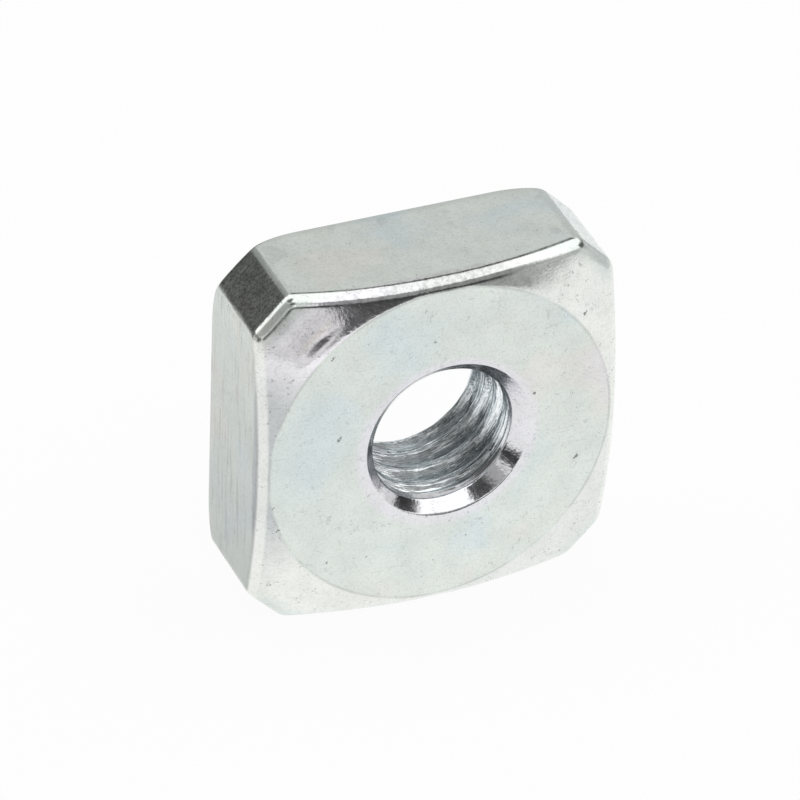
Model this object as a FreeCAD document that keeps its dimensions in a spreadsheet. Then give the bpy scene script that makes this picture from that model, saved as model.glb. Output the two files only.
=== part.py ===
# Square lock nut, standing on one of its side flats: a pressed steel block with one tapped hole.
# The hole runs along Y, the chamfered front looks towards -Y, and +Z is up.
# The origin is the middle of the square, half way through its thickness.
import FreeCAD, Part
import math
import os
import Sketcher

os.makedirs("parts", exist_ok=True)

doc = FreeCAD.newDocument("LockNut")

# Driving sizes, lengths in millimetres and angles in degrees
sizes = {
    "across_flats": 17.0,        # width of the square
    "thickness": 6.0,            # front land to back land
    "corner_leg": 1.7,           # what each corner loses along both of its sides
    "corner_round": 0.9,         # radius where a corner facet runs into a side
    "front_inset": 0.45,         # the round front land stops this far short of the side flats
    "front_slope": 19.0,         # fall of the front outside its land
    "front_edge_round": 0.65,
    "back_outset": 1.0,          # the round back land reaches this far past the side flats
    "back_drop": 0.55,           # how far the back curves down from there to a corner
    "back_edge_round": 0.15,
    "thread_major": 8.0,         # nominal diameter of the thread
    "thread_pitch": 1.25,
    "bore_offset": 0.35,         # the hole sits this far off the middle, to the right
    "mouth_angle": 60.0,         # full angle of the countersink, which opens at the nominal diameter
    "mouth_round": 0.65,         # soft lip where the countersink meets the front
    "back_chamfer": 0.65,        # leg of the chamfer at the hole's back end
}
sheet = doc.addObject("Spreadsheet::Sheet", "Sizes")
for row, (alias, value) in enumerate(sizes.items(), start=1):
    sheet.set(f"A{row}", alias)
    sheet.set(f"B{row}", str(value))
    sheet.setAlias(f"B{row}", alias)
doc.recompute()

# Lengths that follow from the driving sizes, as the document's expressions
front_level = "-Sizes.thickness / 2"
back_level = "Sizes.thickness / 2"
corner_level = "Sizes.thickness / 2 - Sizes.back_drop"
front_land = "Sizes.across_flats / 2 - Sizes.front_inset"
back_land = "Sizes.across_flats / 2 + Sizes.back_outset"
corner_reach = "hypot(Sizes.across_flats / 2; Sizes.across_flats / 2 - Sizes.corner_leg)"
# A metric nut thread is 5/8 of its sharp V deep on each side, and that V is cos 30 of the pitch high
minor_diameter = "Sizes.thread_major - 2 * 5 / 8 * cos(30 deg) * Sizes.thread_pitch"

# The same lengths as numbers, for the first positions in the sketches and for finding edges
half_width = sheet.across_flats / 2
half_thickness = sheet.thickness / 2
land = half_width - sheet.front_inset
back_start = half_width + sheet.back_outset
reach = math.hypot(half_width, half_width - sheet.corner_leg)
close = 0.001

body = doc.addObject("PartDesign::Body", "LockNut")
body.Label = "lock_nut"


def new_sketch(name, role):
    sketch = body.newObject("Sketcher::SketchObject", name)
    plane = next(item for item in body.Origin.OriginFeatures if item.Role == role)
    sketch.AttachmentSupport = (plane, [""])
    sketch.MapMode = "FlatFace"
    return sketch


def add_line(sketch, start, end):
    return sketch.addGeometry(Part.LineSegment(FreeCAD.Vector(*start, 0), FreeCAD.Vector(*end, 0)))


def add_rule(sketch, *rule):
    sketch.addConstraint(Sketcher.Constraint(*rule))


def add_size(sketch, expression, *rule):
    index = sketch.addConstraint(Sketcher.Constraint(*rule))
    sketch.setExpression(f"Constraints[{index}]", expression)


def close_loop(sketch, curves):
    for curve, following in zip(curves, curves[1:] + curves[:1]):
        add_rule(sketch, "Coincident", curve, 2, following, 1)


def require_cut(feature, before):
    if feature.Shape.Volume > before.Shape.Volume - close:
        raise RuntimeError(f"{feature.Label} removed nothing")


def revolve_cut(name, sketch, before):
    groove = body.newObject("PartDesign::Groove", name)
    groove.Profile = sketch
    groove.ReferenceAxis = (sketch, ["V_Axis"])
    groove.Angle = 360
    doc.recompute()
    require_cut(groove, before)
    return groove


def edges_where(shape, test):
    return [f"Edge{number}" for number, edge in enumerate(shape.Edges, start=1) if test(edge)]


def fillet_edges(name, before, test, radius):
    fillet = body.newObject("PartDesign::Fillet", name)
    fillet.Base = (before, edges_where(before.Shape, test))
    fillet.setExpression("Radius", radius)
    doc.recompute()
    return fillet


def chamfer_edges(name, before, test, size):
    chamfer = body.newObject("PartDesign::Chamfer", name)
    chamfer.Base = (before, edges_where(before.Shape, test))
    chamfer.setExpression("Size", size)
    doc.recompute()
    return chamfer


def runs_front_to_back(edge):
    box = edge.BoundBox
    return edge.Curve.TypeId == "Part::GeomLine" and box.XLength + box.ZLength < close


def on_rim(side):
    """Edges of the front (-1) or back (+1) rim, where the faces meet the sides and corners."""
    def test(edge):
        if runs_front_to_back(edge) or edge.Curve.TypeId == "Part::GeomCircle":
            return False
        outside_land = all(math.hypot(end.X, end.Z) > land + close for end in edge.Vertexes)
        return outside_land and side * edge.CenterOfMass.y > half_thickness / 2
    return test


def hole_end(side):
    """The hole's circle in the front (-1) or back (+1) face."""
    def test(edge):
        if edge.Curve.TypeId != "Part::GeomCircle":
            return False
        centre = edge.Curve.Center
        on_axis = math.hypot(centre.x - sheet.bore_offset, centre.z) < close
        at_face = abs(centre.y - side * half_thickness) < close
        return on_axis and at_face and edge.Curve.Radius < land - close
    return test


# Square block
outline = new_sketch("Outline", "XZ_Plane")
bottom = add_line(outline, (-half_width, -half_width), (half_width, -half_width))
right = add_line(outline, (half_width, -half_width), (half_width, half_width))
top = add_line(outline, (half_width, half_width), (-half_width, half_width))
left = add_line(outline, (-half_width, half_width), (-half_width, -half_width))
close_loop(outline, [bottom, right, top, left])
add_rule(outline, "Horizontal", bottom)
add_rule(outline, "Horizontal", top)
add_rule(outline, "Vertical", right)
add_rule(outline, "Vertical", left)
add_rule(outline, "Symmetric", bottom, 1, top, 1, -1, 1)
add_rule(outline, "Equal", bottom, right)
add_size(outline, "Sizes.across_flats", "DistanceX", bottom, 1, bottom, 2, sheet.across_flats)

block = body.newObject("PartDesign::Pad", "Block")
block.Profile = outline
block.Midplane = True
block.setExpression("Length", "Sizes.thickness")
doc.recompute()

# Corner facets, and the rounding where each facet runs into the sides
facets = chamfer_edges("CornerFacets", block, runs_front_to_back, "Sizes.corner_leg")
rounds = fillet_edges("CornerRounds", facets, runs_front_to_back, "Sizes.corner_round")

# Front: a cone outside the round land, which bows the four front edges
slope = math.radians(sheet.front_slope)
cone_end = (reach, (reach - land) * math.tan(slope) - half_thickness)
front_profile = new_sketch("FrontProfile", "XY_Plane")
level = add_line(front_profile, (land, -half_thickness), (reach, -half_thickness))
outside = add_line(front_profile, (reach, -half_thickness), cone_end)
cone = add_line(front_profile, cone_end, (land, -half_thickness))
close_loop(front_profile, [level, outside, cone])
add_rule(front_profile, "Horizontal", level)
add_rule(front_profile, "Vertical", outside)
add_size(front_profile, front_land, "DistanceX", -1, 1, level, 1, land)
add_size(front_profile, front_level, "DistanceY", -1, 1, level, 1, -half_thickness)
add_size(front_profile, corner_reach, "DistanceX", -1, 1, outside, 1, reach)
add_size(front_profile, "Sizes.front_slope * 1 deg", "Angle", level, 1, cone, 2, slope)
front_cone = revolve_cut("FrontCone", front_profile, rounds)

# Back: a wider land, with a curve outside it that eases only the corners down
run = reach - back_start
radius = (run ** 2 + sheet.back_drop ** 2) / (2 * sheet.back_drop)
curve_end = (reach, half_thickness - sheet.back_drop)
circle = Part.Circle(FreeCAD.Vector(back_start, half_thickness - radius, 0), FreeCAD.Vector(0, 0, 1), radius)
back_profile = new_sketch("BackProfile", "XY_Plane")
outside = add_line(back_profile, curve_end, (reach, half_thickness))
level = add_line(back_profile, (reach, half_thickness), (back_start, half_thickness))
curve = back_profile.addGeometry(Part.ArcOfCircle(circle, math.acos(run / radius), math.pi / 2))
add_rule(back_profile, "Coincident", outside, 2, level, 1)
add_rule(back_profile, "Coincident", level, 2, curve, 2)
add_rule(back_profile, "Coincident", curve, 1, outside, 1)
add_rule(back_profile, "Vertical", outside)
add_rule(back_profile, "Horizontal", level)
add_rule(back_profile, "Vertical", curve, 3, curve, 2)
add_size(back_profile, corner_reach, "DistanceX", -1, 1, outside, 1, reach)
add_size(back_profile, corner_level, "DistanceY", -1, 1, outside, 1, half_thickness - sheet.back_drop)
add_size(back_profile, back_land, "DistanceX", -1, 1, level, 2, back_start)
add_size(back_profile, back_level, "DistanceY", -1, 1, level, 2, half_thickness)
back_curve = revolve_cut("BackCurve", back_profile, front_cone)

# Edge rounding all around the front and the back
front_edge = fillet_edges("FrontEdge", back_curve, on_rim(-1), "Sizes.front_edge_round")
back_edge = fillet_edges("BackEdge", front_edge, on_rim(1), "Sizes.back_edge_round")

# Tapped hole with its countersink, drilled from the front land
bore_centre = new_sketch("BoreCentre", "XZ_Plane")
bore_centre.setExpression(".AttachmentOffset.Base.z", "Sizes.thickness / 2")
circle = Part.Circle(FreeCAD.Vector(sheet.bore_offset, 0, 0), FreeCAD.Vector(0, 0, 1), sheet.thread_major / 2)
drill = bore_centre.addGeometry(circle)
add_rule(bore_centre, "PointOnObject", drill, 3, -1)
add_size(bore_centre, "Sizes.bore_offset", "DistanceX", -1, 1, drill, 3, sheet.bore_offset)
add_size(bore_centre, minor_diameter, "Diameter", drill, sheet.thread_major)
doc.recompute()

bore = body.newObject("PartDesign::Hole", "Bore")
bore.Profile = bore_centre
bore.DepthType = "ThroughAll"
bore.HoleCutType = "Countersink"
bore.setExpression("Diameter", minor_diameter)
bore.setExpression("HoleCutDiameter", "Sizes.thread_major")
bore.setExpression("HoleCutCountersinkAngle", "Sizes.mouth_angle")
doc.recompute()
require_cut(bore, back_edge)

# Ends of the hole: a soft lip around the countersink, and a small chamfer at the back
lip = fillet_edges("MouthLip", bore, hole_end(-1), "Sizes.mouth_round")
nut = chamfer_edges("BackChamfer", lip, hole_end(1), "Sizes.back_chamfer")
body.Tip = nut
doc.recompute()

# Every feature has to have worked before anything is written
for item in doc.Objects:
    if "Invalid" in item.State or "Error" in item.State:
        raise RuntimeError(f"{item.Label} failed: {item.State}")
if body.Shape.isNull() or not body.Shape.isValid():
    raise RuntimeError(f"{body.Label} has no valid shape")

body.Shape.exportStep(f"parts/{body.Label}.step")
box = body.Shape.optimalBoundingBox()
print(f"{body.Label}: {box.XLength:.2f} x {box.YLength:.2f} x {box.ZLength:.2f} mm")
print(f"volume {body.Shape.Volume:.1f} mm3")
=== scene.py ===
import math

import bpy
import numpy as np
from mathutils import Matrix, Vector


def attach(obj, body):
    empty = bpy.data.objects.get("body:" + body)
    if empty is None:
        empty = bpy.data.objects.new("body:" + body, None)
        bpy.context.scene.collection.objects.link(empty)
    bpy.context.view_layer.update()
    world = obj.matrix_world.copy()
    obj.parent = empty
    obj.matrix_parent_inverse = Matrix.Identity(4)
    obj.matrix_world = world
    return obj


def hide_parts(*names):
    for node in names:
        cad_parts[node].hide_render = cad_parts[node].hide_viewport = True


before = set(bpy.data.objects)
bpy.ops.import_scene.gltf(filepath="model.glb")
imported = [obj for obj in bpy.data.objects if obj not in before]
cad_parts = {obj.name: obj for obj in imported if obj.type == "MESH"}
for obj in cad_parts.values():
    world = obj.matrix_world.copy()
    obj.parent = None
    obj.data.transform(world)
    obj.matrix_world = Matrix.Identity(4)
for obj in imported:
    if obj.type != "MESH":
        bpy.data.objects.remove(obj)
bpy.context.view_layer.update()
scene = bpy.context.scene
scene.view_settings.view_transform = "Standard"
millimetre = 0.001


def addNode(tree, kind, **settings):
    node = tree.nodes.new(kind)
    for name, value in settings.items():
        setattr(node, name, value)
    return node


def feed(tree, socket, value):
    # a socket is linked, anything else is written on the input
    if isinstance(value, bpy.types.NodeSocket):
        tree.links.new(value, socket)
    elif value is not None:
        socket.default_value = value


def calc(tree, operation, *values):
    node = addNode(tree, "ShaderNodeMath", operation=operation)
    for socket, value in zip(node.inputs, values):
        feed(tree, socket, value)
    return node.outputs[0]


def mapRange(tree, value, fromLow, fromHigh, toLow, toHigh, blend="SMOOTHSTEP"):
    node = addNode(tree, "ShaderNodeMapRange", interpolation_type=blend)
    for socket, given in zip(node.inputs, (value, fromLow, fromHigh, toLow, toHigh)):
        feed(tree, socket, given)
    return node.outputs[0]


def separate(tree, vector):
    node = addNode(tree, "ShaderNodeSeparateXYZ")
    tree.links.new(vector, node.inputs[0])
    return node.outputs


def product(tree, first, *others):
    for value in others:
        first = calc(tree, "MULTIPLY", first, value)
    return first


def apart(tree, value, middle):
    # distance from a middle value, either way
    return calc(tree, "ABSOLUTE", calc(tree, "SUBTRACT", value, middle))


def opposite(tree, mask):
    return calc(tree, "SUBTRACT", 1.0, mask)


def length2(tree, a, b):
    return calc(tree, "SQRT", calc(tree, "ADD", product(tree, a, a), product(tree, b, b)))


# nut blank: rings of points round the hole, closed into one skin
blank = {
    "acrossFlats": 17.0,
    "thickness": 6.0,
    "cornerLeg": 1.7,
    "cornerRound": 0.9,
    "landRadius": 8.05,
    "frontSlope": 19.0,
    "frontBow": 0.07,  # how much the slope grows with every millimetre outwards
    "landSoftness": 0.12,  # width over which the land turns into the cone
    "landStep": 0.012,  # the press leaves a slight step round the land
    "landStepWidth": 0.10,
    "frontEdgeRound": 0.65,
    "backLandRadius": 9.5,
    "backDrop": 0.55,  # at the corner's sharp edge
    "backEdgeRound": 0.15,
    "boreOffset": 0.35,
    "minorDiameter": 6.6468,
    "mouthDiameter": 8.04,
    "mouthAngle": 90.0,
    "mouthRound": 0.22,
    "mouthShift": (0.11, 0.04),  # the countersink is a little out of true
    "dishRadius": 4.5,  # the punch left a shallow dish round the mouth
    "dishSlope": 11.0,
    "backChamfer": 0.65,
    "dishSoftness": 0.1,
    "dishMargin": 0.2,  # the dish's rows end this far outside it
    "landMargin": 0.55,  # the cone's rows start this far inside the land's edge
    "backMargin": 0.9,
    "flatColumns": 88,
    "facetColumns": 14,
    "roundColumns": 8,
    "lipRows": 8,
    "dishRows": 8,
    "landRows": 7,
    "coneRows": 22,
    "frontEdgeRows": 10,
    "sideRows": 12,
    "backEdgeRows": 5,
    "backRows": 8,
    "endRows": 5,
    "boreRows": 100,
}

# crease that the press left in the cone beside the upper left corner
crease = {"bearing": 132.0, "spread": 7.0, "radius": 8.62, "width": 0.13, "depth": 0.064}


def outlineColumns(nut):
    # points and outward normals of the square with cut and rounded corners
    points, normals = [], []
    half = nut["acrossFlats"] / 2
    facetOut = (nut["acrossFlats"] - nut["cornerLeg"]) / math.sqrt(2)
    turn = nut["cornerRound"] * math.tan(math.pi / 8)
    for side in range(8):
        angle = side * math.pi / 4
        out = np.array([math.cos(angle), math.sin(angle)])
        along = np.array([-out[1], out[0]])
        isFlat = side % 2 == 0
        distance = half if isFlat else facetOut
        reach = (half - nut["cornerLeg"] if isFlat else nut["cornerLeg"] / math.sqrt(2)) - turn
        steps = nut["flatColumns"] if isFlat else nut["facetColumns"]
        for i in range(steps):
            points.append(out * distance + along * reach * (2 * i / steps - 1))
            normals.append(out)
        centre = out * (distance - nut["cornerRound"]) + along * reach
        for i in range(nut["roundColumns"]):
            bend = angle + math.pi / 4 * i / nut["roundColumns"]
            normal = np.array([math.cos(bend), math.sin(bend)])
            points.append(centre + normal * nut["cornerRound"])
            normals.append(normal)
    return np.array(points), np.array(normals)


def softStep(past, depth, width):
    # depth and slope of a rounded step down
    share = np.tanh(past / width)
    return depth * (1 + share) / 2, depth * (1 - share**2) / (2 * width)


def frontFall(nut, radius, bearing):
    # how far the front lies behind the land at a radius and bearing, and its slope there
    grade = math.tan(math.radians(nut["frontSlope"]))
    past = radius - nut["landRadius"]
    bow = np.sqrt(past**2 + nut["landSoftness"] ** 2)
    stepDepth, stepSlope = softStep(past, nut["landStep"], nut["landStepWidth"])
    aside = (np.degrees(bearing) - crease["bearing"]) / crease["spread"]
    fade = np.exp(-(aside**2))
    creaseDepth, creaseSlope = softStep(radius - crease["radius"], crease["depth"] * fade, crease["width"])
    outside = (past + bow) / 2
    steeper = nut["frontBow"] * outside
    depth = grade * outside * (1 + steeper / 2) + stepDepth + creaseDepth
    return depth, grade * (1 + steeper) * (1 + past / bow) / 2 + stepSlope + creaseSlope


def backFall(nut, radius, bearing):
    corner = math.hypot(nut["acrossFlats"] / 2, nut["acrossFlats"] / 2 - nut["cornerLeg"])
    run = corner - nut["backLandRadius"]
    bowRadius = (run**2 + nut["backDrop"] ** 2) / (2 * nut["backDrop"])
    past = np.maximum(radius - nut["backLandRadius"], 0)
    drop = np.sqrt(bowRadius**2 - past**2)
    return bowRadius - drop, past / drop


def roundedEdge(nut, points, normals, roundness, fall, rows):
    # rolls a ball along the edge: rows of radial place, height behind the face
    middle = points - normals * roundness
    reach = np.hypot(middle[:, 0], middle[:, 1])
    bearing = np.arctan2(middle[:, 1], middle[:, 0])
    outward = middle / reach[:, None]
    touch = reach.copy()
    for _ in range(6):
        tilt = np.arctan(fall(nut, touch, bearing)[1])
        touch = reach + roundness * np.sin(tilt)
    depth = fall(nut, touch, bearing)[0] + roundness * np.cos(tilt)
    faceNormal = np.column_stack([outward * np.sin(tilt)[:, None], -np.cos(tilt)])
    sideNormal = np.column_stack([normals, np.zeros(len(normals))])
    angle = np.arccos(np.clip((faceNormal * sideNormal).sum(1), -1, 1))[:, None]
    ballCentre = np.column_stack([middle, depth])
    strips = []
    for i in range(rows + 1):
        share = i / rows
        blend = np.sin((1 - share) * angle) * faceNormal + np.sin(share * angle) * sideNormal
        strips.append(ballCentre + roundness * blend / np.sin(angle))
    return strips, touch, bearing


def ring(centreX, radius, y, angles):
    # every argument may be one number or one per column
    radius = np.broadcast_to(radius, angles.shape)
    y = np.broadcast_to(y, angles.shape)
    return np.column_stack([centreX + radius * np.cos(angles), y, radius * np.sin(angles)])


def standing(strip, y):
    # turns a rounded edge's row upright: its height becomes the given place along Y
    return np.column_stack([strip[:, 0], y, strip[:, 1]])


def blankRows(nut):
    # from the mouth over the front, the sides and the back into the hole
    points, normals = outlineColumns(nut)
    frontY, backY = -nut["thickness"] / 2, nut["thickness"] / 2
    angles = np.arctan2(points[:, 1], points[:, 0])
    rows, bore = [], []
    # mouth: a shallow dish turns over a rounded lip into the countersink
    lean, dish = math.radians(nut["mouthAngle"] / 2), math.radians(nut["dishSlope"])
    upright = math.pi / 2 - lean
    mouthRadius = nut["mouthDiameter"] / 2
    shiftX, shiftZ = nut["mouthShift"]
    aside = shiftX * np.cos(angles) + shiftZ * np.sin(angles)
    meetDepth = (nut["dishRadius"] - mouthRadius) / (1 / math.tan(dish) - math.tan(lean))
    setBack = nut["mouthRound"] * math.tan((upright - dish) / 2)
    lipRadius = mouthRadius - meetDepth * math.tan(lean) + setBack * math.cos(dish)
    lipDepth = meetDepth - setBack * math.sin(dish)
    for i in range(nut["lipRows"] + 1):
        turn = upright + (dish - upright) * i / nut["lipRows"]
        radius = lipRadius + nut["mouthRound"] * (math.sin(dish) - math.sin(turn))
        depth = lipDepth + nut["mouthRound"] * (math.cos(dish) - math.cos(turn))
        rows.append(ring(nut["boreOffset"], radius + aside, frontY + depth, angles))
    dishEnd = nut["dishRadius"] + nut["dishMargin"]
    for i in range(1, nut["dishRows"]):
        radius = lipRadius + (dishEnd - lipRadius) * i / nut["dishRows"]
        inside = nut["dishRadius"] - radius
        depth = math.tan(dish) * (inside + math.hypot(inside, nut["dishSoftness"])) / 2
        rows.append(ring(nut["boreOffset"], radius + aside, frontY + depth, angles))
    # land and cone
    strips, touch, bearing = roundedEdge(
        nut, points, normals, nut["frontEdgeRound"], frontFall, nut["frontEdgeRows"])
    inner = nut["landRadius"] - nut["landMargin"]
    lip = ring(nut["boreOffset"], dishEnd + aside, frontY, angles)
    edge = ring(0.0, inner, frontY, bearing)
    for i in range(nut["landRows"] + 1):
        row = lip + (edge - lip) * i / nut["landRows"]
        row[:, 1] = frontY + frontFall(nut, np.hypot(row[:, 0], row[:, 2]), bearing)[0]
        rows.append(row)
    for i in range(1, nut["coneRows"]):
        radius = inner + (touch - inner) * i / nut["coneRows"]
        rows.append(ring(0.0, radius, frontY + frontFall(nut, radius, bearing)[0], bearing))
    # front edge, side, back edge
    rows.extend(standing(strip, frontY + strip[:, 2]) for strip in strips)
    strips, touch, bearing = roundedEdge(
        nut, points, normals, nut["backEdgeRound"], backFall, nut["backEdgeRows"])
    backEdge = [standing(strip, backY - strip[:, 2]) for strip in reversed(strips)]
    top, bottom = rows[-1], backEdge[0]
    for i in range(1, nut["sideRows"]):
        rows.append(top + (bottom - top) * i / nut["sideRows"])
    rows.extend(backEdge)
    # back, then the chamfer and the hole
    inner = nut["acrossFlats"] / 2 - nut["backMargin"]
    for i in range(1, nut["backRows"] + 1):
        radius = touch + (inner - touch) * i / nut["backRows"]
        rows.append(ring(0.0, radius, backY - backFall(nut, radius, bearing)[0], bearing))
    boreRadius = nut["minorDiameter"] / 2
    chamferRadius = boreRadius + nut["backChamfer"]
    edge, hole = rows[-1], ring(nut["boreOffset"], chamferRadius, backY, angles)
    for i in range(1, nut["endRows"]):
        rows.append(edge + (hole - edge) * i / nut["endRows"])
    startY = rows[0][0, 1]
    for i in range(nut["boreRows"]):
        y = backY + (startY - backY) * i / nut["boreRows"]
        chamfered = max(boreRadius, chamferRadius - (backY - y))
        sunk = mouthRadius - (y - frontY) * math.tan(lean) + aside
        bore.append(ring(nut["boreOffset"], np.maximum(chamfered, sunk), y, angles))
    return rows, bore


def skinMesh(name, rows, bore):
    grid = np.stack(rows + bore) * millimetre
    rowCount, columnCount = grid.shape[:2]
    this = np.arange(rowCount * columnCount).reshape(rowCount, columnCount)
    right, below = np.roll(this, -1, axis=1), np.roll(this, -1, axis=0)
    corner = np.roll(right, -1, axis=0)
    faces = np.stack([this, right, corner, below], axis=-1).reshape(-1, 4)
    mesh = bpy.data.meshes.new(name)
    mesh.from_pydata(grid.reshape(-1, 3).tolist(), [], faces.tolist())
    wall = mesh.attributes.new("boreWall", "BOOLEAN", "POINT")
    wall.data.foreach_set("value", np.arange(rowCount * columnCount) >= len(rows) * columnCount)
    points = grid.reshape(-1, 3)
    a, b, c, d = (points[faces[:, k]] for k in range(4))
    if (np.cross(c - a, d - b) * (a + b + c + d)).sum() < 0:
        mesh.flip_normals()
    mesh.update()
    return mesh


rows, bore = blankRows(blank)
nut = bpy.data.objects.new("squareLockNut", skinMesh("squareLockNut", rows, bore))
scene.collection.objects.link(nut)
print("nut blank:", len(rows) + len(bore), "rows,", len(nut.data.polygons), "faces")

# thread: cut into the hole's wall by a node tree
thread = {
    "Pitch": 1.25,
    "Major diameter": 8.0,
    "Minor diameter": blank["minorDiameter"],
    "Axis offset": blank["boreOffset"],
    "Start turn": 0.15,
    "Cut rounding": 0.05,
    "First cut": -1.95,  # where the groove starts behind the countersunk mouth
    "Run in": 1.1,
    "Seam depth": 0.09,  # forming leaves a seam along every crest
    "Seam width": 0.26,
    "Unevenness": 0.010,  # how deep the cold-formed skin dips
    "Unevenness size": 2.4,
}


def buildThreadTree(material):
    tree = bpy.data.node_groups.new("nutThread", "GeometryNodeTree")
    tree.is_modifier = True
    tree.interface.new_socket(name="Geometry", in_out="INPUT", socket_type="NodeSocketGeometry")
    for name in thread:
        tree.interface.new_socket(name=name, in_out="INPUT", socket_type="NodeSocketFloat")
    tree.interface.new_socket(name="Geometry", in_out="OUTPUT", socket_type="NodeSocketGeometry")
    given = addNode(tree, "NodeGroupInput").outputs
    metre = {name: calc(tree, "MULTIPLY", given[name], millimetre) for name in thread}
    place = addNode(tree, "GeometryNodeInputPosition").outputs[0]
    fromMiddle, y, z = separate(tree, place)
    x = calc(tree, "SUBTRACT", fromMiddle, metre["Axis offset"])
    radius = length2(tree, x, z)
    turn = calc(tree, "DIVIDE", calc(tree, "ARCTAN2", z, x), 2 * math.pi)
    # right-handed: turning clockwise seen from the front goes backwards
    advance = calc(tree, "ADD", calc(tree, "DIVIDE", y, metre["Pitch"]), turn)
    phase = calc(tree, "FRACT", calc(tree, "ADD", advance, given["Start turn"]))
    aside = calc(tree, "MULTIPLY", apart(tree, phase, 0.5), metre["Pitch"])
    # flanks at 60 degrees between a root flat of an eighth and a crest flat of a quarter of the pitch
    root = calc(tree, "DIVIDE", metre["Major diameter"], 2)
    sharpRoot = calc(tree, "ADD", root, calc(tree, "MULTIPLY", metre["Pitch"], math.sqrt(3) / 16))
    flank = calc(tree, "SUBTRACT", sharpRoot, calc(tree, "MULTIPLY", aside, math.sqrt(3)))
    groove = calc(tree, "SMOOTH_MIN", flank, root, metre["Cut rounding"])
    sinceStart = calc(tree, "SUBTRACT", y, metre["First cut"])
    openness = calc(tree, "MAXIMUM", calc(tree, "DIVIDE", sinceStart, metre["Run in"]), 0.0)
    openness = calc(tree, "MINIMUM", openness, 1.0)
    crest = calc(tree, "DIVIDE", metre["Minor diameter"], 2)
    fullDepth = calc(tree, "SUBTRACT", root, crest)
    limit = calc(tree, "ADD", crest, calc(tree, "MULTIPLY", fullDepth, openness))
    groove = calc(tree, "MINIMUM", groove, limit)
    rounding = calc(tree, "MULTIPLY", metre["Cut rounding"], openness)
    cut = calc(tree, "SMOOTH_MAX", radius, groove, rounding)
    # seam in the middle of the crest
    fromSeam = calc(tree, "SUBTRACT", calc(tree, "MULTIPLY", metre["Pitch"], 0.5), aside)
    halfSeam = calc(tree, "DIVIDE", metre["Seam width"], 2)
    seam = mapRange(tree, fromSeam, 0.0, halfSeam, metre["Seam depth"], 0.0)
    cut = calc(tree, "ADD", cut, calc(tree, "MULTIPLY", seam, openness))
    stretch = calc(tree, "DIVIDE", cut, radius)
    moved = addNode(tree, "ShaderNodeCombineXYZ")
    movedX = calc(tree, "ADD", calc(tree, "MULTIPLY", x, stretch), metre["Axis offset"])
    tree.links.new(movedX, moved.inputs["X"])
    tree.links.new(y, moved.inputs["Y"])
    tree.links.new(calc(tree, "MULTIPLY", z, stretch), moved.inputs["Z"])
    wall = addNode(tree, "GeometryNodeInputNamedAttribute", data_type="BOOLEAN")
    wall.inputs["Name"].default_value = "boreWall"
    setThread = addNode(tree, "GeometryNodeSetPosition")
    tree.links.new(given["Geometry"], setThread.inputs["Geometry"])
    tree.links.new(wall.outputs["Attribute"], setThread.inputs["Selection"])
    tree.links.new(moved.outputs[0], setThread.inputs["Position"])
    # the skin dips a little here and there, never outwards
    noise = addNode(tree, "ShaderNodeTexNoise")
    tree.links.new(calc(tree, "DIVIDE", 1.0, metre["Unevenness size"]), noise.inputs["Scale"])
    noise.inputs["Detail"].default_value = 2.0
    dip = calc(tree, "MULTIPLY", noise.outputs[0], calc(tree, "MULTIPLY", metre["Unevenness"], -1.0))
    inward = addNode(tree, "ShaderNodeVectorMath", operation="SCALE")
    tree.links.new(addNode(tree, "GeometryNodeInputNormal").outputs[0], inward.inputs[0])
    tree.links.new(dip, inward.inputs["Scale"])
    setSkin = addNode(tree, "GeometryNodeSetPosition")
    tree.links.new(setThread.outputs[0], setSkin.inputs["Geometry"])
    tree.links.new(inward.outputs[0], setSkin.inputs["Offset"])
    smooth = addNode(tree, "GeometryNodeSetShadeSmooth")
    tree.links.new(setSkin.outputs[0], smooth.inputs["Geometry"])
    realize = addNode(tree, "GeometryNodeRealizeInstances")
    tree.links.new(smooth.outputs[0], realize.inputs[0])
    finish = addNode(tree, "GeometryNodeSetMaterial")
    tree.links.new(realize.outputs[0], finish.inputs["Geometry"])
    finish.inputs["Material"].default_value = material
    tree.links.new(finish.outputs[0], addNode(tree, "NodeGroupOutput").inputs[0])
    return tree


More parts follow.
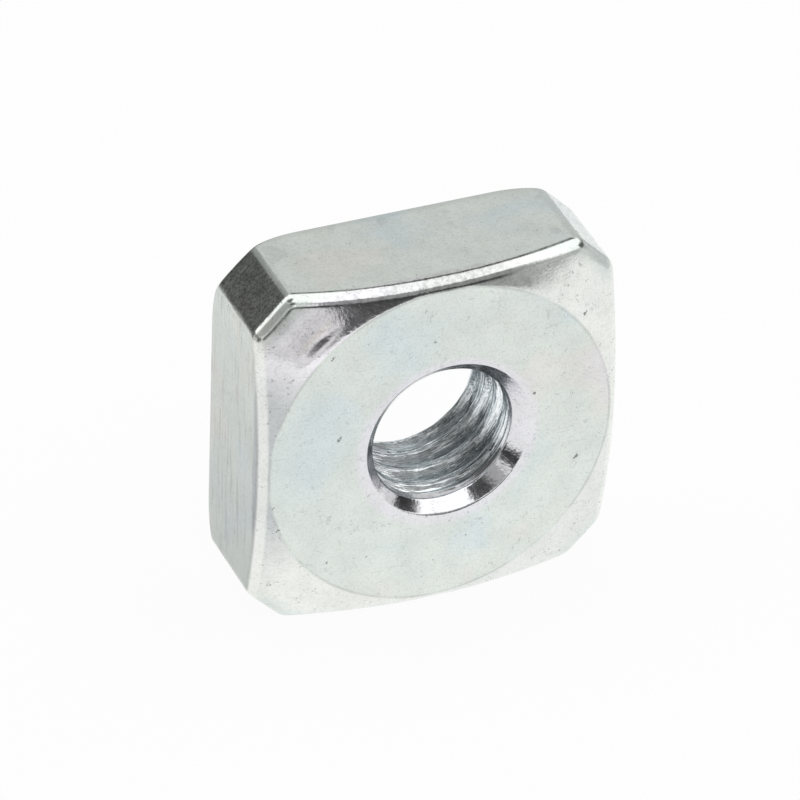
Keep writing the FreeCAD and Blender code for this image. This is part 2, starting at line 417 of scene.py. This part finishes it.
# clear-passivated zinc, sizes in millimetres
zinc = {
    "green": (0.735, 0.78, 0.74),
    "cream": (0.765, 0.775, 0.73),
    "lavender": (0.765, 0.75, 0.765),
    "blue": (0.685, 0.76, 0.76),
    "tableSidePaintedReflection": (0.85, 0.865, 0.825),  # this one and the next four are painted light on the cone: painted shade and painted highlights by bearing
    "leftSidePaintedShade": (0.53, 0.55, 0.565),
    "creaseSidePaintedHighlight": (0.95, 0.925, 0.97),
    "topSidePaintedLight": (0.76, 0.78, 0.765),
    "rightSidePaintedHighlight": (0.86, 0.88, 0.84),
    # how much of the cone's colour is this painted light
    "paintedConeLightShare": 0.88,
    "paleMark": (0.98, 0.935, 0.93),
    "edgeHighlightShare": 0.75,
    "mouth": (0.80, 0.79, 0.835),
    "mouthShare": 0.8,
    "thread": (0.95, 1.0, 0.985),
    "lowSidePaintedShade": 0.58,  # painted shade of the upright sides at the table
    "highSidePaintedShade": 0.83,
    "blotchSize": 5.0,
    "grainSize": 0.13,
    "mottleSize": 0.55,
    "cloudSize": 1.5,
    "landEdgeShadeBreakSize": 3.0,  # of the breaks in the painted shade line round the land
    "paintedEdgeShadeSize": 0.24,
    "speckDarkness": 0.26,
    "coneSpeckDarkness": 0.40,
    "curlSize": 0.9,
    "curlDarkness": 0.17,
    "streakSize": 2.4,
    "streakStretch": 13,
    "streakDarkness": 0.20,
    "scratchSize": 1.6,
    "scratchStretch": 22,
    "lineSize": 0.17,
    "fineLineSize": 0.06,
    "pitSize": 2.3,  # one pit at most in a cell of this width
    "pitShare": 0.35,  # cells without a pit
    "pitRadius": 0.09,
    "pitRagged": 0.4,
    "pitDarkness": 0.38,
    "roughness": 0.19,
    "roughnessSpread": 0.08,
    "smoother": 0.06,  # taken off the roughness in the hole and on the cone
    "reliefDepth": 0.01,  # for a relief of one
}

# where each mask starts and where it is full, in millimetres
zones = {
    "hole": (4.25, 3.95),  # from the hole's axis
    "mouth": (4.5, 4.1),
    "cone": (8.0, 8.15),  # from the middle of the front
    "edge": (8.02, 8.16),  # to the left or right; where the painted highlight of the rounded edges lies
    "side": (8.40, 8.48),
    "facet": (15.24, 15.29),  # sideways and upright together
    "front": (-2.0, -2.3),  # along the hole
    "thread": (-2.15, -1.75),
    "upperEdge": (7.9, 8.1),  # upwards
    "paintedEdgeShade": (4.5, 1.5),  # to the right; the painted shade on the upper edge
}

# pale mark outside the crease; its bearing is a share of a full turn
mark = {"bearing": 0.864, "spread": (0.008, 0.030), "radius": 8.98, "width": (0.05, 0.26)}


def noiseAt(tree, place, size, detail=2.0, distortion=0.0, stretch=(1, 1, 1), shift=(0, 0, 0),
            turn=(0, 0, 0)):
    # place is in millimetres, and size is the width of one patch
    mapping = addNode(tree, "ShaderNodeMapping")
    tree.links.new(place, mapping.inputs["Vector"])
    mapping.inputs["Location"].default_value = shift
    mapping.inputs["Rotation"].default_value = turn
    mapping.inputs["Scale"].default_value = stretch
    noise = addNode(tree, "ShaderNodeTexNoise")
    tree.links.new(mapping.outputs[0], noise.inputs["Vector"])
    noise.inputs["Scale"].default_value = 1 / size
    noise.inputs["Detail"].default_value = detail
    noise.inputs["Distortion"].default_value = distortion
    return noise.outputs[0]


def colourRamp(tree, value, stops):
    node = addNode(tree, "ShaderNodeValToRGB")
    while len(node.color_ramp.elements) < len(stops):
        node.color_ramp.elements.new(0.5)
    for element, (position, colour) in zip(node.color_ramp.elements, stops):
        element.position = position
        element.color = (*colour, 1)
    tree.links.new(value, node.inputs[0])
    return node.outputs["Color"]


def mixColour(tree, blend, share, first, second):
    node = addNode(tree, "ShaderNodeMix", data_type="RGBA", blend_type=blend)
    feed(tree, node.inputs["Factor"], share)
    feed(tree, node.inputs[6], first)
    feed(tree, node.inputs[7], second)
    return node.outputs[2]


def shadeBy(tree, colour, factor):
    # multiplies a colour by a grey value
    grey = addNode(tree, "ShaderNodeCombineXYZ")
    for socket in grey.inputs:
        feed(tree, socket, factor)
    return mixColour(tree, "MULTIPLY", 1.0, colour, grey.outputs[0])


def shadeWhere(tree, colour, mask, factor):
    # as shadeBy, but only where the mask is one
    change = calc(tree, "MULTIPLY", mask, calc(tree, "SUBTRACT", factor, 1.0))
    return shadeBy(tree, colour, calc(tree, "ADD", 1.0, change))


def darken(tree, colour, mask, depth):
    return shadeBy(tree, colour, opposite(tree, calc(tree, "MULTIPLY", mask, depth)))


def zone(tree, value, name):
    start, full = zones[name]
    return mapRange(tree, value, start, full, 0.0, 1.0)


def findSpot(tree):
    # where on the nut: the point in millimetres, distances, bearings and masks
    scaled = addNode(tree, "ShaderNodeVectorMath", operation="SCALE")
    tree.links.new(addNode(tree, "ShaderNodeTexCoord").outputs["Object"], scaled.inputs[0])
    scaled.inputs["Scale"].default_value = 1 / millimetre
    point = scaled.outputs[0]
    x, y, z = separate(tree, point)
    sideways = calc(tree, "ABSOLUTE", x)
    boreX = calc(tree, "SUBTRACT", x, blank["boreOffset"])
    boreRadius = length2(tree, boreX, z)
    landReach = length2(tree, x, z)
    bearing = calc(tree, "ARCTAN2", z, x)
    atFront = zone(tree, y, "front")
    inHole = zone(tree, boreRadius, "hole")
    return {
        "point": point, "x": x, "y": y, "z": z,
        "sideways": sideways,
        "boreRadius": boreRadius,
        "arc": calc(tree, "ARCTAN2", z, boreX),
        "landReach": landReach,
        "bearing": mapRange(tree, bearing, -math.pi, math.pi, 0.0, 1.0, "LINEAR"),
        "atFront": atFront,
        "inHole": inHole,
        "inThread": product(tree, inHole, zone(tree, y, "thread")),
        "onCone": product(tree, zone(tree, landReach, "cone"), atFront),
        "onSide": zone(tree, sideways, "side"),
        "onFacet": zone(tree, calc(tree, "ADD", sideways, calc(tree, "ABSOLUTE", z)), "facet"),
    }


# the colour built here is the film's tint with painted light added on the cone, the front edges, the
# sides, the mouth and along the land's edge
def tintFilmAndPaintLight(tree, spot):
    # the passivation's thin film: broad faint patches of pale green, cream, lavender and blue
    patches = noiseAt(tree, spot["point"], zinc["blotchSize"], detail=2.0, distortion=0.5)
    filmAndPaintedLight = colourRamp(tree, patches, [
        (0.33, zinc["blue"]), (0.45, zinc["green"]), (0.55, zinc["green"]),
        (0.62, zinc["cream"]), (0.70, zinc["lavender"]),
    ])
    # painted light on the cone: painted shade and painted highlights by bearing, from the left by the
    # table to the right and back over the top
    paintedConeLight = colourRamp(tree, spot["bearing"], [
        (0.04, zinc["leftSidePaintedShade"]), (0.11, zinc["tableSidePaintedReflection"]), (0.38, zinc["topSidePaintedLight"]),
        (0.62, zinc["rightSidePaintedHighlight"]), (0.76, zinc["topSidePaintedLight"]), (0.84, zinc["creaseSidePaintedHighlight"]),
        (0.885, zinc["creaseSidePaintedHighlight"]), (0.93, zinc["leftSidePaintedShade"]),
    ])
    share = product(tree, spot["onCone"], zinc["paintedConeLightShare"])
    filmAndPaintedLight = mixColour(tree, "MIX", share, filmAndPaintedLight, paintedConeLight)
    beside = mapRange(tree, apart(tree, spot["bearing"], mark["bearing"]), *mark["spread"], 1.0, 0.0)
    across = mapRange(tree, apart(tree, spot["landReach"], mark["radius"]), *mark["width"], 1.0, 0.0)
    share = product(tree, beside, across, spot["onCone"])
    filmAndPaintedLight = mixColour(tree, "MIX", share, filmAndPaintedLight, (*zinc["paleMark"], 1))
    # painted highlight on the rounded edges beside the front, and painted shade that dims the upper edge's
    # highlight on the left
    share = product(tree, zone(tree, spot["sideways"], "edge"), zinc["edgeHighlightShare"],
                    opposite(tree, spot["onSide"]))
    filmAndPaintedLight = mixColour(tree, "MIX", share, filmAndPaintedLight, (*zinc["rightSidePaintedHighlight"], 1))
    # mottled painted shade that dims the upper edge's highlight
    paintedEdgeShade = noiseAt(tree, spot["point"], zinc["paintedEdgeShadeSize"], detail=3.0, shift=(1.0, 8.0, 3.0))
    paintedEdgeShadeMask = product(tree, zone(tree, spot["z"], "upperEdge"), zone(tree, spot["x"], "paintedEdgeShade"))
    paintedEdgeShadeMask = product(tree, paintedEdgeShadeMask, spot["atFront"])
    filmAndPaintedLight = darken(tree, filmAndPaintedLight, paintedEdgeShadeMask, mapRange(tree, paintedEdgeShade, 0.35, 0.6, 0.30, 0.10))
    # painted shade on the upright sides, darkest near the table, and a lavender tint with a painted
    # highlight in the mouth
    paintedSideShade = mapRange(tree, spot["z"], -8.0, 6.0, zinc["lowSidePaintedShade"], zinc["highSidePaintedShade"], "LINEAR")
    filmAndPaintedLight = shadeWhere(tree, filmAndPaintedLight, spot["onSide"], paintedSideShade)
    # in the mouth a lavender tint with a painted highlight, lighter than the colour around it
    share = product(tree, zone(tree, spot["boreRadius"], "mouth"), zinc["mouthShare"])
    filmAndPaintedLight = mixColour(tree, "MIX", share, filmAndPaintedLight, (*zinc["mouth"], 1))
    # painted shade: a faint broken dark line along the edge of the land
    landEdgeShadeBreaks = noiseAt(tree, spot["point"], zinc["landEdgeShadeBreakSize"], detail=2.0, shift=(5.0, 0.0, 2.0))
    landEdgeShade = apart(tree, spot["landReach"], blank["landRadius"])
    landEdgeShade = product(tree, mapRange(tree, landEdgeShade, 0.02, 0.10, 1.0, 0.0), spot["atFront"])
    return darken(tree, filmAndPaintedLight, landEdgeShade, mapRange(tree, landEdgeShadeBreaks, 0.42, 0.55, 0.04, 0.18))


def roughenFilm(tree, filmAndPaintedLight, spot, grain, mottle):
    # fine grain of the plating, with dark specks where it is open
    filmAndPaintedLight = shadeBy(tree, filmAndPaintedLight, mapRange(tree, grain, 0.25, 0.55, 0.90, 1.02, "LINEAR"))
    filmAndPaintedLight = shadeBy(tree, filmAndPaintedLight, mapRange(tree, mottle, 0.3, 0.55, 0.95, 1.01, "LINEAR"))
    cloud = noiseAt(tree, spot["point"], zinc["cloudSize"], detail=3.0, shift=(0.4, 6.0, 2.2))
    filmAndPaintedLight = shadeBy(tree, filmAndPaintedLight, mapRange(tree, cloud, 0.35, 0.65, 0.965, 1.035, "LINEAR"))
    # painted reflection: the colour is brighter towards the bottom, by the table
    filmAndPaintedLight = shadeBy(tree, filmAndPaintedLight, mapRange(tree, spot["z"], -8.0, 2.0, 1.08, 1.0, "LINEAR"))
    specks = product(tree, mapRange(tree, grain, 0.58, 0.68, 0.0, 1.0),
                     mapRange(tree, mottle, 0.5, 0.62, 0.0, 1.0))
    speckDepth = mapRange(tree, spot["onCone"], 0.0, 1.0,
                          zinc["speckDarkness"], zinc["coneSpeckDarkness"], "LINEAR")
    filmAndPaintedLight = darken(tree, filmAndPaintedLight, specks, speckDepth)
    # short curled marks on the front
    curls = noiseAt(tree, spot["point"], zinc["curlSize"], detail=3.0, distortion=0.6,
                    shift=(9.0, 1.0, 4.0))
    curl = mapRange(tree, apart(tree, curls, 0.5), 0.004, 0.012, 1.0, 0.0)
    curl = product(tree, curl, mapRange(tree, mottle, 0.46, 0.60, 0.0, 1.0), spot["atFront"])
    filmAndPaintedLight = darken(tree, filmAndPaintedLight, curl, zinc["curlDarkness"])
    # the cut corners are open-grained
    openGrain = mapRange(tree, grain, 0.35, 0.65, -0.25, 0.35, "LINEAR")
    return darken(tree, filmAndPaintedLight, spot["onFacet"], openGrain)


def findPits(tree, spot, grain):
    # a few ragged pits in the front
    ragged = addNode(tree, "ShaderNodeCombineXYZ")
    for socket, value in zip(ragged.inputs, (spot["x"], spot["z"])):
        shifted = calc(tree, "ADD", value, product(tree, grain, zinc["pitRagged"]))
        tree.links.new(shifted, socket)
    cells = addNode(tree, "ShaderNodeTexVoronoi", voronoi_dimensions="2D")
    tree.links.new(ragged.outputs[0], cells.inputs["Vector"])
    cells.inputs["Scale"].default_value = 1 / zinc["pitSize"]
    chance = separate(tree, cells.outputs["Color"])[0]
    largest = zinc["pitRadius"] / zinc["pitSize"]
    reach = mapRange(tree, chance, zinc["pitShare"], 1.0, 0.0, largest, "LINEAR")
    beyond = calc(tree, "SUBTRACT", cells.outputs["Distance"], reach)
    pit = mapRange(tree, beyond, -0.02, 0.005, 1.0, 0.0)
    return product(tree, pit, spot["atFront"], opposite(tree, spot["inHole"]))


def threadLines(tree, spot):
    # forming lines along the thread, coarse and fine
    rise = product(tree, spot["arc"], thread["Pitch"] / (2 * math.pi))
    along = addNode(tree, "ShaderNodeCombineXYZ")
    tree.links.new(calc(tree, "ADD", spot["y"], rise), along.inputs["X"])
    tree.links.new(product(tree, spot["arc"], 0.45), along.inputs["Y"])
    tree.links.new(spot["boreRadius"], along.inputs["Z"])
    along = along.outputs[0]
    lines = noiseAt(tree, along, zinc["lineSize"], detail=3.0)
    return lines, noiseAt(tree, along, zinc["fineLineSize"], detail=2.0, shift=(2.0, 0.0, 0.0))


def shadeThreadAndLines(tree, filmAndPaintedLight, spot, lines, fineLines):
    # painted light in the thread: brighter near the mouth and painted shade in a patch at the lower right,
    # with darker forming lines along the thread
    threadShadePatch = mapRange(tree, apart(tree, spot["arc"], -0.95), 0.15, 0.75, 0.50, 1.0)
    threadShadeAndLines = product(
        tree, mapRange(tree, spot["y"], -1.9, 0.9, 1.18, 1.06, "LINEAR"),
        mapRange(tree, lines, 0.35, 0.55, 0.82, 1.06, "LINEAR"),
        mapRange(tree, fineLines, 0.38, 0.55, 0.74, 1.08, "LINEAR"), threadShadePatch)
    filmAndPaintedLight = shadeWhere(tree, filmAndPaintedLight, spot["inThread"], threadShadeAndLines)
    return mixColour(tree, "MULTIPLY", spot["inThread"], filmAndPaintedLight, (*zinc["thread"], 1))


def buildZinc():
    material = bpy.data.materials.new("clearPassivatedZinc")
    material.use_nodes = True
    tree = material.node_tree
    shader = tree.nodes["Principled BSDF"]
    shader.inputs["Metallic"].default_value = 1.0
    spot = findSpot(tree)
    grain = noiseAt(tree, spot["point"], zinc["grainSize"], detail=2.0)
    mottle = noiseAt(tree, spot["point"], zinc["mottleSize"], detail=4.0, shift=(3.1, 0.7, 1.9))
    filmAndPaintedLight = roughenFilm(tree, tintFilmAndPaintLight(tree, spot), spot, grain, mottle)
    pit = findPits(tree, spot, grain)
    filmAndPaintedLight = shadeBy(tree, filmAndPaintedLight, mapRange(tree, pit, 0.0, 1.0, 1.0, zinc["pitDarkness"], "LINEAR"))
    # drawn streaks up and down the upright sides
    streaks = noiseAt(tree, spot["point"], zinc["streakSize"], detail=3.0,
                      stretch=(1, zinc["streakStretch"], 1))
    streakShade = mapRange(tree, streaks, 0.46, 0.32, 0.0, zinc["streakDarkness"])
    filmAndPaintedLight = darken(tree, filmAndPaintedLight, streakShade, spot["onSide"])
    # hairline scratches in two directions
    for angle, shift in ((0.5, 0.0), (-0.9, 7.0)):
        hairs = noiseAt(tree, spot["point"], zinc["scratchSize"], detail=1.0,
                        stretch=(1, 1, zinc["scratchStretch"]), shift=(shift, 0, 0), turn=(0, angle, 0))
        filmAndPaintedLight = shadeBy(tree, filmAndPaintedLight, mapRange(tree, hairs, 0.70, 0.76, 1.0, 0.90))
    lines, fineLines = threadLines(tree, spot)
    filmAndPaintedLight = shadeThreadAndLines(tree, filmAndPaintedLight, spot, lines, fineLines)
    tree.links.new(filmAndPaintedLight, shader.inputs["Base Color"])
    lowest = zinc["roughness"] - zinc["roughnessSpread"] / 2
    highest = zinc["roughness"] + zinc["roughnessSpread"] / 2
    roughness = mapRange(tree, mottle, 0.3, 0.7, lowest, highest)
    smoother = product(tree, calc(tree, "MAXIMUM", spot["inHole"], spot["onCone"]), zinc["smoother"])
    tree.links.new(calc(tree, "SUBTRACT", roughness, smoother), shader.inputs["Roughness"])
    # relief, strongest in the hole, on the cut corners and in the upper left of the cone
    upper = mapRange(tree, apart(tree, spot["bearing"], 0.785), 0.045, 0.075, 0.9, 0.15)
    rough = calc(tree, "MAXIMUM", spot["inHole"], spot["onFacet"])
    rough = calc(tree, "MAXIMUM", rough, product(tree, spot["onCone"], upper))
    bothLines = calc(tree, "ADD", lines, product(tree, fineLines, 0.4))
    relief = calc(tree, "MULTIPLY", pit, -2.0)
    for height in (
        product(tree, grain, mapRange(tree, rough, 0.0, 1.0, 0.12, 0.5, "LINEAR")),
        product(tree, mottle, mapRange(tree, rough, 0.0, 1.0, 0.25, 0.9, "LINEAR")),
        product(tree, bothLines, spot["inThread"], 2.4),
        product(tree, streaks, spot["onSide"], 1.6),
    ):
        relief = calc(tree, "ADD", relief, height)
    bump = addNode(tree, "ShaderNodeBump")
    bump.inputs["Strength"].default_value = 1.0
    bump.inputs["Distance"].default_value = zinc["reliefDepth"] * millimetre
    tree.links.new(relief, bump.inputs["Height"])
    tree.links.new(bump.outputs[0], shader.inputs["Normal"])
    return material


zincSkin = buildZinc()
threadTree = buildThreadTree(zincSkin)
cutter = nut.modifiers.new("nutThread", "NODES")
cutter.node_group = threadTree
for item in threadTree.interface.items_tree:
    if item.in_out == "INPUT" and item.name in thread:
        cutter[item.identifier] = thread[item.name]
cutNut = nut.evaluated_get(bpy.context.evaluated_depsgraph_get())
finished = bpy.data.meshes.new_from_object(cutNut)
nut.modifiers.clear()
nut.data = finished
print("thread cut:", len(finished.vertices), "points,", 2 * len(finished.polygons), "triangles")

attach(nut, "root")
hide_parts("lock_nut")


# white table
floorSizes = {
    "width": 0.25,
    "colour": (0.94, 0.94, 0.94),
    "whiteSeen": 0.94,  # share of plain white that the camera sees over the lit floor
    "whiteReflected": 0.9,  # the same in the metal
}


def buildFloor():
    half = floorSizes["width"] / 2
    level = -blank["acrossFlats"] / 2 * millimetre
    mesh = bpy.data.meshes.new("whiteTable")
    corners = [(-half, -half, level), (half, -half, level), (half, half, level), (-half, half, level)]
    mesh.from_pydata(corners, [], [(0, 1, 2, 3)])
    table = bpy.data.objects.new("whiteTable", mesh)
    scene.collection.objects.link(table)
    material = bpy.data.materials.new("whitePaper")
    material.use_nodes = True
    tree = material.node_tree
    shader = tree.nodes["Principled BSDF"]
    shader.inputs["Base Color"].default_value = (*floorSizes["colour"], 1)
    shader.inputs["Roughness"].default_value = 0.9
    shader.inputs["Specular IOR Level"].default_value = 0.0
    glow = addNode(tree, "ShaderNodeEmission")
    glow.inputs["Strength"].default_value = 1.0
    rays = addNode(tree, "ShaderNodeLightPath").outputs
    mirrored = calc(tree, "MAXIMUM", rays["Is Glossy Ray"], rays["Is Transmission Ray"])
    seen = calc(tree, "MULTIPLY", rays["Is Camera Ray"], floorSizes["whiteSeen"])
    share = calc(tree, "MAXIMUM", seen, calc(tree, "MULTIPLY", mirrored, floorSizes["whiteReflected"]))
    blend = addNode(tree, "ShaderNodeMixShader")
    tree.links.new(share, blend.inputs[0])
    tree.links.new(shader.outputs[0], blend.inputs[1])
    tree.links.new(glow.outputs[0], blend.inputs[2])
    tree.links.new(blend.outputs[0], tree.nodes["Material Output"].inputs["Surface"])
    mesh.materials.append(material)


buildFloor()

# light: a bright ceiling that leans to the front, over a dim room with a few cards
# directions are in degrees: azimuth 0 behind the nut, 90 to its right, 180 in front
# where cards overlap, the later one covers the earlier one
studio = {"lean": 14.0, "room": 0.10, "ceiling": 1.36, "ceilingStart": 0.28, "ceilingFull": 0.46}
cardSoftness = 3.0  # degrees to either side of a card's edge
cards = {
    "rightWall": {"azimuth": 100, "elevation": 2, "width": 70, "height": 20, "level": 0.75},
    "rightFlag": {"azimuth": 104, "elevation": 21, "width": 36, "height": 23, "level": 0.04},
    "frontRight": {"azimuth": 146, "elevation": 3, "width": 34, "height": 14, "level": 0.55},
    "frontGrey": {"azimuth": 162, "elevation": 25, "width": 52, "height": 32, "level": 0.36},
    "frontLeft": {"azimuth": -150, "elevation": 4, "width": 52, "height": 20, "level": 0.8},
    "backRight": {"azimuth": 40, "elevation": 8, "width": 50, "height": 44, "level": 0.65},
    "backWall": {"azimuth": 22, "elevation": 37, "width": 64, "height": 16, "level": 0.78},
    "backGap": {"azimuth": 27, "elevation": 50, "width": 60, "height": 13, "level": 0.10},
    "backLeft": {"azimuth": -27, "elevation": 33, "width": 36, "height": 22, "level": 0.12},
    "backStep": {"azimuth": -14, "elevation": 37, "width": 18, "height": 22, "level": 0.36},
    "leftLow": {"azimuth": -86, "elevation": 2, "width": 40, "height": 14, "level": 0.6},
    "leftWindow": {"azimuth": -68, "elevation": 28, "width": 26, "height": 20, "level": 1.3},
    "leftWall": {"azimuth": -122, "elevation": 32, "width": 78, "height": 28, "level": 0.42},
    "leftFlag": {"azimuth": -108, "elevation": 64, "width": 60, "height": 30, "level": 0.10},
    "leftGap": {"azimuth": -124, "elevation": 7, "width": 26, "height": 14, "level": 0.04},
    "camera": {"azimuth": -153, "elevation": 43, "width": 32, "height": 19, "level": 0.06},
    "topGap": {"azimuth": 163, "elevation": 6, "width": 34, "height": 14, "level": 0.06},
    "creaseGap": {"azimuth": -163, "elevation": 9, "width": 34, "height": 13, "level": 0.04},
}


def buildWorld():
    world = bpy.data.worlds.new("softStudio")
    scene.world = world
    world.use_nodes = True
    tree = world.node_tree
    background = tree.nodes["Background"]
    x, y, z = separate(tree, addNode(tree, "ShaderNodeTexCoord").outputs["Generated"])
    lean = math.radians(studio["lean"])
    towards = calc(tree, "SUBTRACT", product(tree, z, math.cos(lean)), product(tree, y, math.sin(lean)))
    level = mapRange(tree, towards, studio["ceilingStart"], studio["ceilingFull"],
                     studio["room"], studio["ceiling"])
    azimuth = calc(tree, "MULTIPLY", calc(tree, "ARCTAN2", x, y), 180 / math.pi)
    elevation = calc(tree, "MULTIPLY", calc(tree, "ARCSINE", z), 180 / math.pi)
    for card in cards.values():
        turned = calc(tree, "SUBTRACT", azimuth, card["azimuth"])
        aside = calc(tree, "ABSOLUTE", calc(tree, "WRAP", turned, 180.0, -180.0))
        above = apart(tree, elevation, card["elevation"])
        wide, high = card["width"] / 2, card["height"] / 2
        across = mapRange(tree, aside, wide - cardSoftness, wide + cardSoftness, 1.0, 0.0)
        upright = mapRange(tree, above, high - cardSoftness, high + cardSoftness, 1.0, 0.0)
        mix = addNode(tree, "ShaderNodeMix", data_type="FLOAT")
        feed(tree, mix.inputs["Factor"], calc(tree, "MULTIPLY", across, upright))
        feed(tree, mix.inputs[2], level)
        feed(tree, mix.inputs[3], card["level"])
        level = mix.outputs[0]
    rays = addNode(tree, "ShaderNodeLightPath").outputs
    strength = addNode(tree, "ShaderNodeMix", data_type="FLOAT")
    feed(tree, strength.inputs["Factor"], rays["Is Camera Ray"])
    feed(tree, strength.inputs[2], level)
    feed(tree, strength.inputs[3], 1.0)
    tree.links.new(strength.outputs[0], background.inputs["Strength"])
    background.inputs["Color"].default_value = (1, 1, 1, 1)


buildWorld()
print("floor and light placed")

shot = {
    "azimuth": 23.72,  # degrees to the left of the nut's axis
    "elevation": 34.63,
    "roll": 2.05,
    "distance": 340.0,
    "lens": 350.72,
    "aimRight": -1.783,  # from the middle of the front land, in the picture's plane
    "aimUp": 1.928,
}


def placeCamera():
    azimuth, elevation, roll = (math.radians(shot[name]) for name in ("azimuth", "elevation", "roll"))
    level = Vector((math.cos(azimuth), -math.sin(azimuth), 0))
    ahead = Vector((math.sin(azimuth), math.cos(azimuth), 0))
    forward = math.cos(elevation) * ahead - math.sin(elevation) * Vector((0, 0, 1))
    rise = level.cross(forward)
    right = math.cos(roll) * level + math.sin(roll) * rise
    up = math.cos(roll) * rise - math.sin(roll) * level
    landMiddle = Vector((0, -blank["thickness"] / 2, 0))
    aim = landMiddle + shot["aimRight"] * right + shot["aimUp"] * up
    place = (aim - shot["distance"] * forward) * millimetre
    data = bpy.data.cameras.new("tableCamera")
    data.sensor_width = 36.0
    data.lens = shot["lens"]
    data.clip_start = 0.01
    data.clip_end = 10.0
    camera = bpy.data.objects.new("tableCamera", data)
    turned = Matrix((right, up, -forward)).transposed().to_4x4()
    camera.matrix_world = Matrix.Translation(place) @ turned
    scene.collection.objects.link(camera)
    scene.camera = camera


placeCamera()
